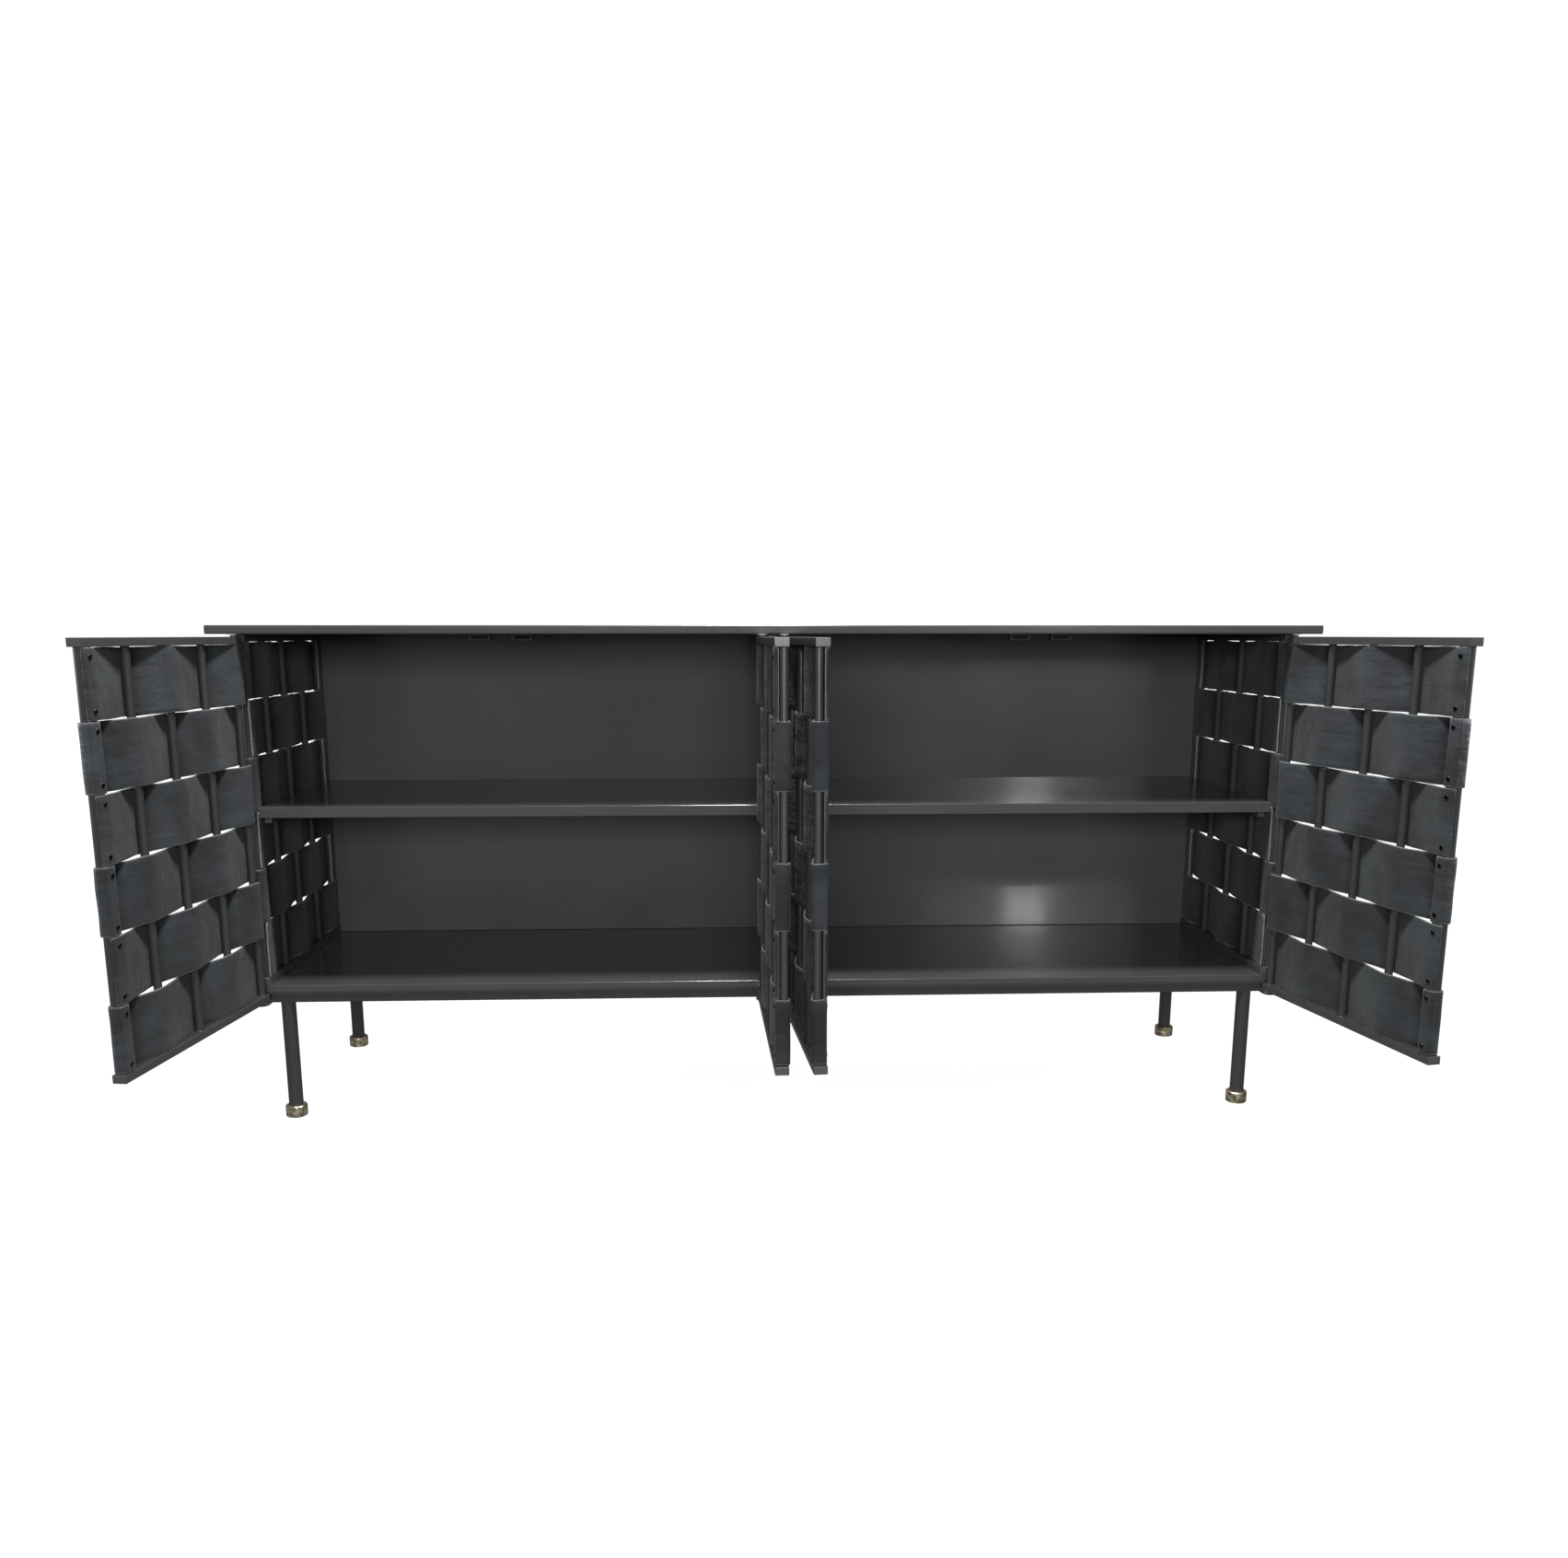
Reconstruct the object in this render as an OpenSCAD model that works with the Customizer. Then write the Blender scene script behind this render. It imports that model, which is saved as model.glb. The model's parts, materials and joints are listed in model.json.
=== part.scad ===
// Sideboard on thin steel legs, with four doors and two sides woven from wide straps.
// The doors stand open. Each leaf turns about two pins, one in the top and one in the base.
// +X is the right-hand end seen from the front, -Y is the front, +Z is up.
// The origin is on the ground, below the middle of the outline with the doors standing open.

/* [Overall] */
// Width of the top
top_w = 1800; // [1500:10:2200]
// Depth of the top, front to back
top_d = 460; // [380:5:560]
// Thickness of the top
top_t = 14; // [13:1:24]
// Height from the ground to the upper face of the top
height = 830; // [700:5:1000]
// How far the top reaches past the body at each end
end_overhang = 32; // [14:1:60]

/* [Body] */
// Distance from the front edge of the top back to the front of the body
front_setback = 26; // [26:1:50]
// Distance from the back edge of the top in to the back panel
back_setback = 6; // [2:1:20]
// Thickness of the floor panel
floor_t = 12; // [8:1:20]
// Thickness of the back panel
back_t = 8; // [4:1:12]
// Thickness of the divider between the two bays
divider_t = 16; // [10:1:20]
// Thickness of the shelves
shelf_t = 18; // [12:1:25]
// Height of the shelves' upper face, as a share of the clear height inside
shelf_share = 0.52; // [0.3:0.01:0.7]

/* [Base and legs] */
// Height of the underside of the base frame above the ground
base_z = 205; // [120:5:280]
// Height of the base frame's bars
base_bar_h = 18; // [14:1:30]
// Width of the base frame's bars
base_bar_w = 24; // [20:1:40]
// Distance from the end of the body in to a leg's axis
leg_inset = 42; // [30:1:90]
// Diameter of a leg
leg_d = 24; // [18:1:28]
// Diameter of a foot
foot_d = 36; // [30:1:44]
// Height of a foot
foot_h = 20; // [16:1:36]

/* [Doors] */
// Thickness of a leaf's top and bottom bars
leaf_t = 20; // [18:1:24]
// Height of a leaf's top and bottom bars
bar_h = 12; // [8:1:16]
// Diameter of the stiles and of the rods between them
rod_d = 12; // [10:1:13]
// Distance from the hinge axis to the hinge end of the bars
hinge_reach = 8; // [6:0.5:9]
// Gap between the closed leaves where they meet in the middle of a bay
meeting_gap = 3; // [2:0.5:6]
// Gap between the hinge ends of the two middle leaves
centre_gap = 20; // [14:1:30]
// Gap between a leaf and the underside of the top
head_gap = 4; // [3:0.5:8]
// How far the left outer leaf stands open, in degrees from closed
open_left_outer = 97.5; // [60:0.5:110]
// How far the left middle leaf stands open, in degrees from closed
open_left_centre = 92; // [60:0.5:92]
// How far the right middle leaf stands open, in degrees from closed
open_right_centre = 85.5; // [60:0.5:89]
// How far the right outer leaf stands open, in degrees from closed
open_right_outer = 100; // [60:0.5:110]

/* [Weave] */
// Thickness of a strap
strap_t = 3; // [2:0.5:3.5]
// Number of straps, one above another
rows = 6; // [4:1:6]
// Gap between one strap and the next
row_gap = 1.5; // [1:0.5:8]
// Number of spaces between uprights
spaces = 4; // [4:2:6]
// Width of the flat bar that the straps' ends are screwed to
clamp_w = 18; // [14:1:24]

/* [Hardware] */
// Diameter of a hinge pin
pin_d = 8; // [5:0.5:8]
// Outer diameter of a hinge bush
bush_d = 12; // [11:0.5:14]
// Width of a magnetic catch
catch_w = 34; // [24:1:44]
// Height of a magnetic catch
catch_h = 10; // [8:1:14]

/* [Hidden] */
$fn = 48;
SIDES = ["left", "right"];
// each leaf: name, side of the hinge on the body (-1 left, 1 right), 1 for an outer leaf, opening
LEAVES = [
    ["left_outer", -1, 1, open_left_outer],
    ["left_centre", -1, 0, open_left_centre],
    ["right_centre", 1, 0, open_right_centre],
    ["right_outer", 1, 1, open_right_outer],
];
CORNERS = [["front", "left"], ["front", "right"], ["rear", "left"], ["rear", "right"]];
CARCASS = ["top_panel", "floor_panel", "base_frame", "back_panel", "centre_divider",
    "shelf_left", "shelf_right", "shelf_cleats", "pivot_bushes", "catch_housings", "catch_magnets"];

STEEL = "#3b3c3e";
PANEL = "#202123";
STRAP = "#2d3032";
BRASS = "#b8ab88";
SCREW = "#1c1c1e";
NYLON = "#d9d6cc";

sink = 1; // how far welded members run into each other
play = 0.1; // clearance between a strap and the uprights it passes
pin_play = 0.05; // running clearance round a hinge pin, on the radius
seat_play = 0.02; // clearance round a piece that sits fixed in its hole, on the radius

// body
body_w = top_w - 2 * end_overhang;
body_x = body_w / 2;
body_y0 = front_setback;
back_y = top_d - back_setback - back_t;
body_y1 = back_y + back_t;
floor_z = base_z + base_bar_h;
inside_z0 = floor_z + floor_t;
inside_z1 = height - top_t;
panel_setback = 2; // shelves, divider and base bars stand back from the front of the body
top_bevel = 1.5;
shelf_z = inside_z0 + shelf_share * (inside_z1 - inside_z0) - shelf_t;
shelf_play = 1; // clearance between a shelf and the woven side
cleat = 12; // width and height of a shelf cleat
cleat_end = 30; // how far a cleat stops short of the shelf's front and back

// legs
leg_wall = 2;
stub_h = 12; // how far a foot's stub reaches up inside its leg
foot_bevel = 1.5;
leg_x = body_x - leg_inset;
leg_y = [body_y0 + panel_setback + base_bar_w / 2, body_y1 - base_bar_w / 2];

// doors
door_gap = 4; // between a closed leaf and the body
pivot_y = body_y0 - door_gap - leaf_t / 2;
outer_x = body_x - hinge_reach;
centre_x = hinge_reach + centre_gap / 2;
reach = (outer_x - centre_x - meeting_gap) / 2; // hinge axis to the free end of the bars
tab_t = 4; // thickness of the tabs that carry the lower pins
tab_r = 12;
flange_t = 1;
flange_d = bush_d + 4;
door_lift = 0.5; // the leaf runs this far above the lower bush
door_z0 = base_z + tab_t + flange_t + door_lift;
door_z1 = inside_z1 - head_gap;
bush_cover = 3; // least thickness of the top left above an upper bush
bush_h = min(10, top_t - bush_cover);
pin_grip = 16; // how far a pin is pressed into its leaf
pin_short = 1; // a pin stops this far short of the bottom of its hole

// uprights and straps of a leaf; u runs from the hinge axis to the free end, t to the inside
rod_r = rod_d / 2;
bar_overrun = 8; // how far the bars reach on past the free stile
stile_u = reach - bar_overrun - rod_r;
clamp_t = 3;
clamp_gap = 1;
leaf_edge = 0.5; // the screwed strap stays this far inside the leaf's inner face
stile_t = leaf_t / 2 - leaf_edge - strap_t - clamp_t - clamp_gap - rod_r;
clamp_u1 = stile_u + rod_r;
clamp_t0 = stile_t + rod_r + clamp_gap;
clamp_t1 = clamp_t0 + clamp_t;
level = rod_r + play + strap_t / 2; // middle of a strap where it crosses an upright
wrap_r = level;
fold_r = play + strap_t / 2;
leaf_row = (door_z1 - door_z0 - 2 * bar_h) / rows;
screw_d = 3.5;
screw_head_d = 7;
screw_head_h = 1.6;
screw_u = clamp_u1 - clamp_w / 2;
screw_edge = 12; // from a strap's edge to its screw

// woven sides
post_margin = 3; // from the end of the bars to the strap turned round the end post
post_inset = rod_r + strap_t + post_margin;
side_l = back_y - body_y0;
side_space = (side_l - 2 * post_inset) / spaces;
side_row = (inside_z1 - inside_z0 - 2 * bar_h) / rows;
side_x = body_x - leaf_t / 2;
side_tail = 16; // how far a strap reaches on after it has turned round a post

// catches
bay_x = (outer_x + centre_x) / 2;
catch_gap = 0.5; // between a catch and the closed leaf
catch_y0 = body_y0 - door_gap + catch_gap;
catch_d = 18;
catch_wall = 4; // housing left at each end of its magnet
magnet_d = 6;
magnet_h = catch_h / 2;
magnet_w = catch_w - 2 * catch_wall;

// middle of the outline with the doors open
function hinge_x(leaf) = leaf[1] * (leaf[2] == 1 ? outer_x : centre_x);
// +1 where the closed leaf runs from its hinge to the right, -1 to the left
function run(leaf) = (leaf[2] == 1 ? -1 : 1) * leaf[1];
corners = [for (leaf = LEAVES) for (t = [-leaf_t / 2, leaf_t / 2])
    let (a = leaf[3])
    [hinge_x(leaf) + run(leaf) * (reach * cos(a) + t * sin(a)), pivot_y - reach * sin(a) + t * cos(a)]];
xs = concat([-top_w / 2, top_w / 2], [for (c = corners) c[0]]);
ys = concat([0, top_d], [for (c = corners) c[1]]);
mid = [(min(xs) + max(xs)) / 2, (min(ys) + max(ys)) / 2, 0];

// ---- strap outlines ----
// points on an arc, both ends included
function arc(c, r, a0, a1, n) = [for (i = [0:n])
    let (a = a0 + (a1 - a0) * i / n) [c[0] + r * cos(a), c[1] + r * sin(a)]];
function unit(v) = v / norm(v);
// the path moved sideways by d
function beside(path, d) = [for (i = [0:len(path) - 1])
    let (a = path[max(i - 1, 0)], b = path[min(i + 1, len(path) - 1)], w = unit(b - a))
    path[i] + d * [-w[1], w[0]]];
function backwards(p) = [for (i = [len(p) - 1:-1:0]) p[i]];
function flat(lists) = [for (l = lists) for (p = l) p];

// side of upright k that a strap passes: 1 inside, -1 outside; odd rows start inside
function passing(row, k) = ((row + k) % 2 == 1) ? 1 : -1;
// the strap bends round an upright at u, from a0 to a1 degrees off the way straight past it
function bend(u, side, a0, a1) = arc([u, 0], level, side * (90 + a0), side * (90 + a1), 3);
// slope of a strap drawn tight between two uprights that it passes on opposite sides
function slope(space) = asin(2 * level / space);

// a leaf strap, from its end at the free stile to the hinge stile
leaf_space = stile_u / spaces;
leaf_slope = slope(leaf_space);
function upright_u(k) = stile_u - k * leaf_space;
function leaf_bends(row) = flat([for (k = [1:spaces])
    bend(upright_u(k), passing(row, k), -leaf_slope, k == spaces ? 0 : leaf_slope)]);
over_bar = arc([clamp_u1, clamp_t1], fold_r, 0, 90, 4);
bar_end = [clamp_u1 - clamp_w, clamp_t1 + fold_r];
wrap_end = -90 - leaf_slope + atan(stile_t / leaf_space);
function hinge_end(row) = [-hinge_reach, passing(row, spaces) * level];
function odd_path(row) = concat(
    [[clamp_u1 + fold_r, clamp_t0]], over_bar, [bar_end], leaf_bends(row), [hinge_end(row)]);
function even_path(row) = concat(
    [bar_end], backwards(over_bar), arc([stile_u, stile_t], wrap_r, 0, wrap_end, 7),
    leaf_bends(row), [hinge_end(row)]);
function leaf_path(row) = row % 2 == 1 ? odd_path(row) : even_path(row);

// a side strap, from the front post to the rear post
function post_u(k) = post_inset + k * side_space;
side_slope = slope(side_space);
function side_bends(row) = flat([for (k = [1:spaces - 1])
    bend(post_u(k), -passing(row, k), side_slope, -side_slope)]);
function turned_path(row) = concat(
    [[post_u(0) + side_tail, level]], arc([post_u(0), 0], level, 90, 270 + side_slope, 10),
    side_bends(row),
    arc([post_u(spaces), 0], level, -90 - side_slope, 90, 10), [[post_u(spaces) - side_tail, level]]);
function plain_path(row) = concat(
    [[post_u(0) - rod_r, level]], bend(post_u(0), 1, 0, -side_slope),
    side_bends(row),
    bend(post_u(spaces), 1, side_slope, 0), [[post_u(spaces) + rod_r, level]]);
function side_path(row) = row % 2 == 1 ? turned_path(row) : plain_path(row);

module strap(path, height) {
    linear_extrude(height) polygon(concat(beside(path, strap_t / 2), backwards(beside(path, -strap_t / 2))));
}

// ---- carcass ----
module top_panel() {
    b = top_bevel;
    profile = [[0, b], [0, top_t - b], [b, top_t], [top_d - b, top_t], [top_d, top_t - b], [top_d, b],
        [top_d - b, 0], [b, 0]];
    color(PANEL) difference() {
        translate([-top_w / 2, 0, inside_z1]) rotate([90, 0, 90]) linear_extrude(top_w) polygon(profile);
        for (leaf = LEAVES) translate([hinge_x(leaf), pivot_y, inside_z1 - sink])
            cylinder(r = bush_d / 2 + seat_play, h = bush_h + sink);
    }
}

module floor_panel() {
    color(PANEL) translate([-body_x, body_y0, floor_z]) cube([body_w, body_y1 - body_y0, floor_t]);
}

module back_panel() {
    color(PANEL) translate([-body_x, back_y, inside_z0]) cube([body_w, back_t, inside_z1 - inside_z0]);
}

module centre_divider() {
    y0 = body_y0 + panel_setback;
    color(PANEL) translate([-divider_t / 2, y0, inside_z0])
        cube([divider_t, back_y - y0, inside_z1 - inside_z0]);
}

module pivot_tabs() {
    for (leaf = LEAVES) translate([hinge_x(leaf), pivot_y, base_z]) {
        cylinder(r = tab_r, h = tab_t);
        translate([-tab_r, 0, 0]) cube([2 * tab_r, body_y0 + panel_setback - pivot_y + sink, tab_t]);
    }
}

module base_frame() {
    y0 = body_y0 + panel_setback;
    color(STEEL) {
        difference() {
            union() {
                translate([-body_x, y0, base_z]) cube([body_w, base_bar_w, base_bar_h]);
                pivot_tabs();
            }
            for (leaf = LEAVES) translate([hinge_x(leaf), pivot_y, base_z - sink])
                cylinder(r = bush_d / 2 + seat_play, h = tab_t + 2 * sink);
        }
        translate([-body_x, body_y1 - base_bar_w, base_z]) cube([body_w, base_bar_w, base_bar_h]);
        for (x = [-body_x, -base_bar_w / 2, body_x - base_bar_w])
            translate([x, y0 + base_bar_w, base_z])
                cube([base_bar_w, body_y1 - y0 - 2 * base_bar_w, base_bar_h]);
    }
}

// a shelf in the right-hand bay
module shelf() {
    x1 = body_x - leaf_t - shelf_play;
    y0 = body_y0 + panel_setback;
    color(PANEL) translate([divider_t / 2, y0, shelf_z]) cube([x1 - divider_t / 2, back_y - y0, shelf_t]);
}
module shelf_right() { shelf(); }
module shelf_left() { mirror([1, 0, 0]) shelf(); }

module shelf_cleats() {
    y0 = body_y0 + panel_setback + cleat_end;
    color(STEEL) for (m = [0, 1]) mirror([m, 0, 0])
        for (x = [divider_t / 2, body_x - leaf_t - cleat])
            translate([x, y0, shelf_z - cleat]) cube([cleat, back_y - cleat_end - y0, cleat]);
}

module bush(h) {
    difference() {
        union() {
            cylinder(d = bush_d, h = h);
            translate([0, 0, -flange_t]) cylinder(d = flange_d, h = flange_t);
        }
        translate([0, 0, -flange_t - sink]) cylinder(r = pin_d / 2 + pin_play, h = h + flange_t + 2 * sink);
    }
}
module pivot_bushes() {
    color(NYLON) for (leaf = LEAVES) translate([hinge_x(leaf), pivot_y, 0]) {
        translate([0, 0, inside_z1]) bush(bush_h);
        translate([0, 0, base_z + tab_t]) mirror([0, 0, 1]) bush(tab_t);
    }
}

// one catch for each leaf, hung from the top beside the middle of its bay
module each_catch() {
    for (m = [0, 1]) mirror([m, 0, 0]) for (s = [-1, 1])
        translate([bay_x + s * catch_w, catch_y0, inside_z1 - catch_h]) children();
}
module catch_pocket(gap) {
    translate([-magnet_w / 2 - gap, -gap, (catch_h - magnet_h) / 2 - gap])
        cube([magnet_w + 2 * gap, magnet_d + 2 * gap, magnet_h + 2 * gap]);
}
module catch_housings() {
    color(SCREW) each_catch() difference() {
        translate([-catch_w / 2, 0, 0]) cube([catch_w, catch_d, catch_h]);
        catch_pocket(play);
    }
}
module catch_magnets() {
    color(STEEL) each_catch() catch_pocket(0);
}

// ---- legs ----
module leg(x, y) {
    color(STEEL) translate([x, y, foot_h]) difference() {
        cylinder(d = leg_d, h = base_z - foot_h);
        translate([0, 0, -sink]) cylinder(r = leg_d / 2 - leg_wall, h = base_z - foot_h + 2 * sink);
    }
}

module foot(x, y) {
    r = foot_d / 2;
    stub_r = leg_d / 2 - leg_wall - seat_play;
    color(BRASS) translate([x, y, 0]) rotate_extrude() polygon([
        [0, 0], [r - foot_bevel, 0], [r, foot_bevel], [r, foot_h - foot_bevel], [r - foot_bevel, foot_h],
        [stub_r, foot_h], [stub_r, foot_h + stub_h], [0, foot_h + stub_h]]);
}

// ---- woven sides, drawn at the right-hand end ----
module at_side(name) {
    mirror([name == "left" ? 1 : 0, 0, 0]) translate([side_x, body_y0, 0]) rotate([0, 0, 90]) children();
}
module side_frame() {
    color(STEEL) union() {
        for (z = [inside_z0, inside_z1 - bar_h]) translate([0, -leaf_t / 2, z]) cube([side_l, leaf_t, bar_h]);
        for (k = [0:spaces]) translate([post_u(k), 0, inside_z0 + bar_h - sink])
            cylinder(d = rod_d, h = inside_z1 - inside_z0 - 2 * (bar_h - sink));
    }
}
module side_straps() {
    color(STRAP) for (row = [1:rows])
        translate([0, 0, inside_z1 - bar_h - row * side_row + row_gap / 2])
            strap(side_path(row), side_row - row_gap);
}

// ---- doors, drawn closed along +X from the hinge axis ----
module at_hinge(leaf) {
    translate([hinge_x(leaf), pivot_y, 0]) mirror([run(leaf) < 0 ? 1 : 0, 0, 0])
        rotate([0, 0, -leaf[3]]) children();
}
function strap_z(row) = door_z1 - bar_h - row * leaf_row + row_gap / 2;
strap_h = leaf_row - row_gap;
function screw_zs(row) = [strap_z(row) + screw_edge, strap_z(row) + strap_h - screw_edge];

module screw_hole(z, r) {
    translate([screw_u, clamp_t0 - sink, z]) rotate([-90, 0, 0])
        cylinder(r = r, h = clamp_t + strap_t + 2 * sink);
}

module door_frame() {
    upright_z = door_z0 + bar_h - sink;
    upright_h = door_z1 - door_z0 - 2 * (bar_h - sink);
    color(STEEL) difference() {
        union() {
            for (z = [door_z0, door_z1 - bar_h])
                translate([-hinge_reach, -leaf_t / 2, z]) cube([hinge_reach + reach, leaf_t, bar_h]);
            for (k = [1:spaces]) translate([upright_u(k), 0, upright_z]) cylinder(d = rod_d, h = upright_h);
            translate([stile_u, stile_t, upright_z]) cylinder(d = rod_d, h = upright_h);
            translate([clamp_u1 - clamp_w, clamp_t0, upright_z]) cube([clamp_w, clamp_t, upright_h]);
        }
        for (z = [door_z0 - sink, door_z1 - pin_grip])
            translate([0, 0, z]) cylinder(r = pin_d / 2 + seat_play, h = pin_grip + sink);
        for (row = [1:rows]) for (z = screw_zs(row)) screw_hole(z, screw_d / 2 + play / 2);
    }
}

module door_pins() {
    low = base_z + pin_short;
    high = inside_z1 + bush_h - pin_short;
    color(STEEL) {
        translate([0, 0, low]) cylinder(d = pin_d, h = door_z0 + pin_grip - sink - low);
        translate([0, 0, door_z1 - pin_grip]) cylinder(d = pin_d, h = high - door_z1 + pin_grip);
    }
}

module door_strap(row) {
    color(STRAP) difference() {
        translate([0, 0, strap_z(row)]) strap(leaf_path(row), strap_h);
        for (z = screw_zs(row)) screw_hole(z, screw_d / 2 + play);
    }
}

module door_screws() {
    color(SCREW) for (row = [1:rows]) for (z = screw_zs(row))
        translate([screw_u, clamp_t1 + play + strap_t, z]) rotate([-90, 0, 0]) {
            cylinder(d = screw_head_d, h = screw_head_h);
            translate([0, 0, -clamp_t - strap_t]) cylinder(d = screw_d, h = clamp_t + strap_t + screw_head_h / 2);
        }
}

translate(-mid) {
    top_panel();
    floor_panel();
    base_frame();
    back_panel();
    centre_divider();
    shelf_left();
    shelf_right();
    shelf_cleats();
    pivot_bushes();
    catch_housings();
    catch_magnets();
    for (c = CORNERS) {
        x = c[1] == "left" ? -leg_x : leg_x;
        y = c[0] == "front" ? leg_y[0] : leg_y[1];
        leg(x, y);
        foot(x, y);
    }
    for (s = SIDES) {
        at_side(s) side_frame();
        at_side(s) side_straps();
    }
    for (leaf = LEAVES) {
        at_hinge(leaf) door_frame();
        at_hinge(leaf) door_pins();
        at_hinge(leaf) door_screws();
        for (row = [1:rows])
            at_hinge(leaf) door_strap(row);
    }
}
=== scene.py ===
"""Looks of a black sideboard: four doors and two ends woven from wide leather straps round
steel uprights, lacquered panels, slim steel legs and cast brass feet. Metres throughout."""

import json
import math

import bpy
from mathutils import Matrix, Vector, noise


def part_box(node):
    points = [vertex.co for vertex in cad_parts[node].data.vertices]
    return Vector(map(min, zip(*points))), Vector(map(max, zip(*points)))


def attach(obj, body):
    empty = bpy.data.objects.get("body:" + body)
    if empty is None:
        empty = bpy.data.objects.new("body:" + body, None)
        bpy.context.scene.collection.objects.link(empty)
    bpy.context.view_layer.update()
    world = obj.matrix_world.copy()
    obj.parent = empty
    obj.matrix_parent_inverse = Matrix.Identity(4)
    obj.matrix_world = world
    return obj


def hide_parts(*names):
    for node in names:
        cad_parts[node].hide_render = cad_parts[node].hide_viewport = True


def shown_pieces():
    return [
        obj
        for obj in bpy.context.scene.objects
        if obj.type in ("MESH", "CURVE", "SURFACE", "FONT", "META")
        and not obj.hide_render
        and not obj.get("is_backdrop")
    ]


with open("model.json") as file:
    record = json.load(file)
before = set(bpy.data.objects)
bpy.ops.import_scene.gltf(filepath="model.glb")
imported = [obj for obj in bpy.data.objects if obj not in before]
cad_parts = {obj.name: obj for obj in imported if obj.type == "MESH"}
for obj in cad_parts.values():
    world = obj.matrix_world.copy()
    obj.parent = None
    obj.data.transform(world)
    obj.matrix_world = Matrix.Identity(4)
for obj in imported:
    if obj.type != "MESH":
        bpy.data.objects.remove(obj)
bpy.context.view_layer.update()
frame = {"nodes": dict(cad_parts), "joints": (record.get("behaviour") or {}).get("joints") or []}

MM = 0.001

# Sizes of the woven work and its screws, as they were designed.
ROD = 12 * MM
STRAP = 3 * MM
LEAF = 20 * MM
BAR_H = 12 * MM
ROWS = 6
ROW_GAP = 1.5 * MM
SPACES = 4
PLAY = 0.1 * MM
HINGE_REACH = 8 * MM
MEETING_GAP = 3 * MM
BAR_OVERRUN = 8 * MM
LEAF_EDGE = 0.5 * MM
CLAMP_T = 3 * MM
CLAMP_GAP = 1 * MM
CLAMP_W = 18 * MM
POST_MARGIN = 3 * MM
SIDE_TAIL = 16 * MM
SCREW_EDGE = 12 * MM
SCREW_R = 3.5 * MM
SCREW_HEAD = 1.6 * MM
# Radius of a strap's bend where it passes an upright.
SOFT_BEND = 100 * MM
# How far a strap's middle line keeps from an upright's centre, and its radius over an edge.
level = ROD / 2 + PLAY + STRAP / 2
fold_r = PLAY + STRAP / 2

# How far a strap's inner bulges stand above, and its outer bulges below, its middle height.
DOOR_LEAN = 0.4 * MM
SIDE_LEAN = 0.9 * MM
# How unevenly hide lies: how far its rims wander, how deep its dents are and how far apart.
RIM_WAVE = 1.1 * MM
DENT = 0.8 * MM
DENT_SPACING = 38 * MM
# Steps from one strap's dents, rims and pattern to the next one's, so that no two look alike.
DENT_STEP = 7.3
RIM_STEP = 3.1
PATTERN_STEP = (1.7, 0.9)
# The upper rim reads its wave this far up the noise, and the lower rim as far down.
RIM_OFFSET = 11.0
RIM_ROUND = 0.7 * MM

# How far the edges of boards, welded steel, legs and feet are eased.
BOARD_EASE = 1.5 * MM
WELD_EASE = 0.6 * MM
LEG_EASE = 0.3 * MM
FOOT_EASE = 0.5 * MM
MERGE_WITHIN = 0.01 * MM
# In degrees: less than this is one flat face, more than this is an edge to ease or to keep crisp.
FLAT_ANGLE = 0.5
EASED_ANGLE = 40
CRISP_ANGLE = 35
RIM_ANGLE = 60

# Marks to a metre of each finish, as the scale of its pattern, and the size of one mark.
HIDE_PATCHES = 9.0  # 110 mm
HIDE_BLOOM = 13.0  # 77 mm
HIDE_DENTS = 42.0  # 24 mm
HIDE_PEBBLES = 650.0  # 1.5 mm, coarser than real grain, so that it shows
HIDE_PULLS = (7.0, 45.0, 1.0)  # 140 mm long, 22 mm apart
STEEL_CLOUD = 14.0  # 70 mm
STEEL_PEEL = 700.0  # 1.4 mm
LACQUER_HAZE = 5.0  # 200 mm
LACQUER_RIPPLE = 60.0  # 17 mm
BRASS_PITS = 260.0  # 4 mm
BRASS_STAIN = 140.0  # 7 mm
TURNED_STREAKS = 60.0  # 17 mm
FINE_TURNING = 900.0  # 1.1 mm, along a pin
PLASTIC_GRAIN = 900.0  # 1.1 mm, coarser than real grain, so that it shows
PLASTIC_CLOUD = 50.0  # 20 mm
PAINT_CLOUD = 1.5  # 670 mm


# ---- small helpers ----
def deselect():
    """Nothing is selected or active, so the next operator acts only on its own piece."""
    bpy.ops.object.select_all(action="DESELECT")
    bpy.context.view_layer.objects.active = None


def pick(piece):
    """Only this piece is selected and active."""
    deselect()
    piece.select_set(True)
    bpy.context.view_layer.objects.active = piece


def apply_modifier(piece, name, kind, **settings):
    """Adds a modifier with its settings and applies it."""
    modifier = piece.modifiers.new(name, kind)
    for key, value in settings.items():
        setattr(modifier, key, value)
    pick(piece)
    bpy.ops.object.modifier_apply(modifier=modifier.name)


def smooth(piece, degrees):
    """Smooth shading, apart from edges sharper than the angle."""
    pick(piece)
    bpy.ops.object.shade_smooth_by_angle(angle=math.radians(degrees))


def joined(pieces, name):
    """Several pieces as one mesh."""
    deselect()
    for piece in pieces:
        piece.select_set(True)
    bpy.context.view_layer.objects.active = pieces[0]
    bpy.ops.object.join()
    whole = bpy.context.view_layer.objects.active
    whole.name = name
    return whole


def dressed(piece, material):
    """Gives a new piece its one material."""
    piece.data.materials.clear()
    piece.data.materials.append(material)


# ---- materials ----
def linear(hex_colour):
    """An sRGB hex colour as linear red, green, blue and alpha."""
    parts = [int(hex_colour[i : i + 2], 16) / 255 for i in (1, 3, 5)]
    bent = [p / 12.92 if p <= 0.04045 else ((p + 0.055) / 1.055) ** 2.4 for p in parts]
    return (*bent, 1.0)


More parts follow.
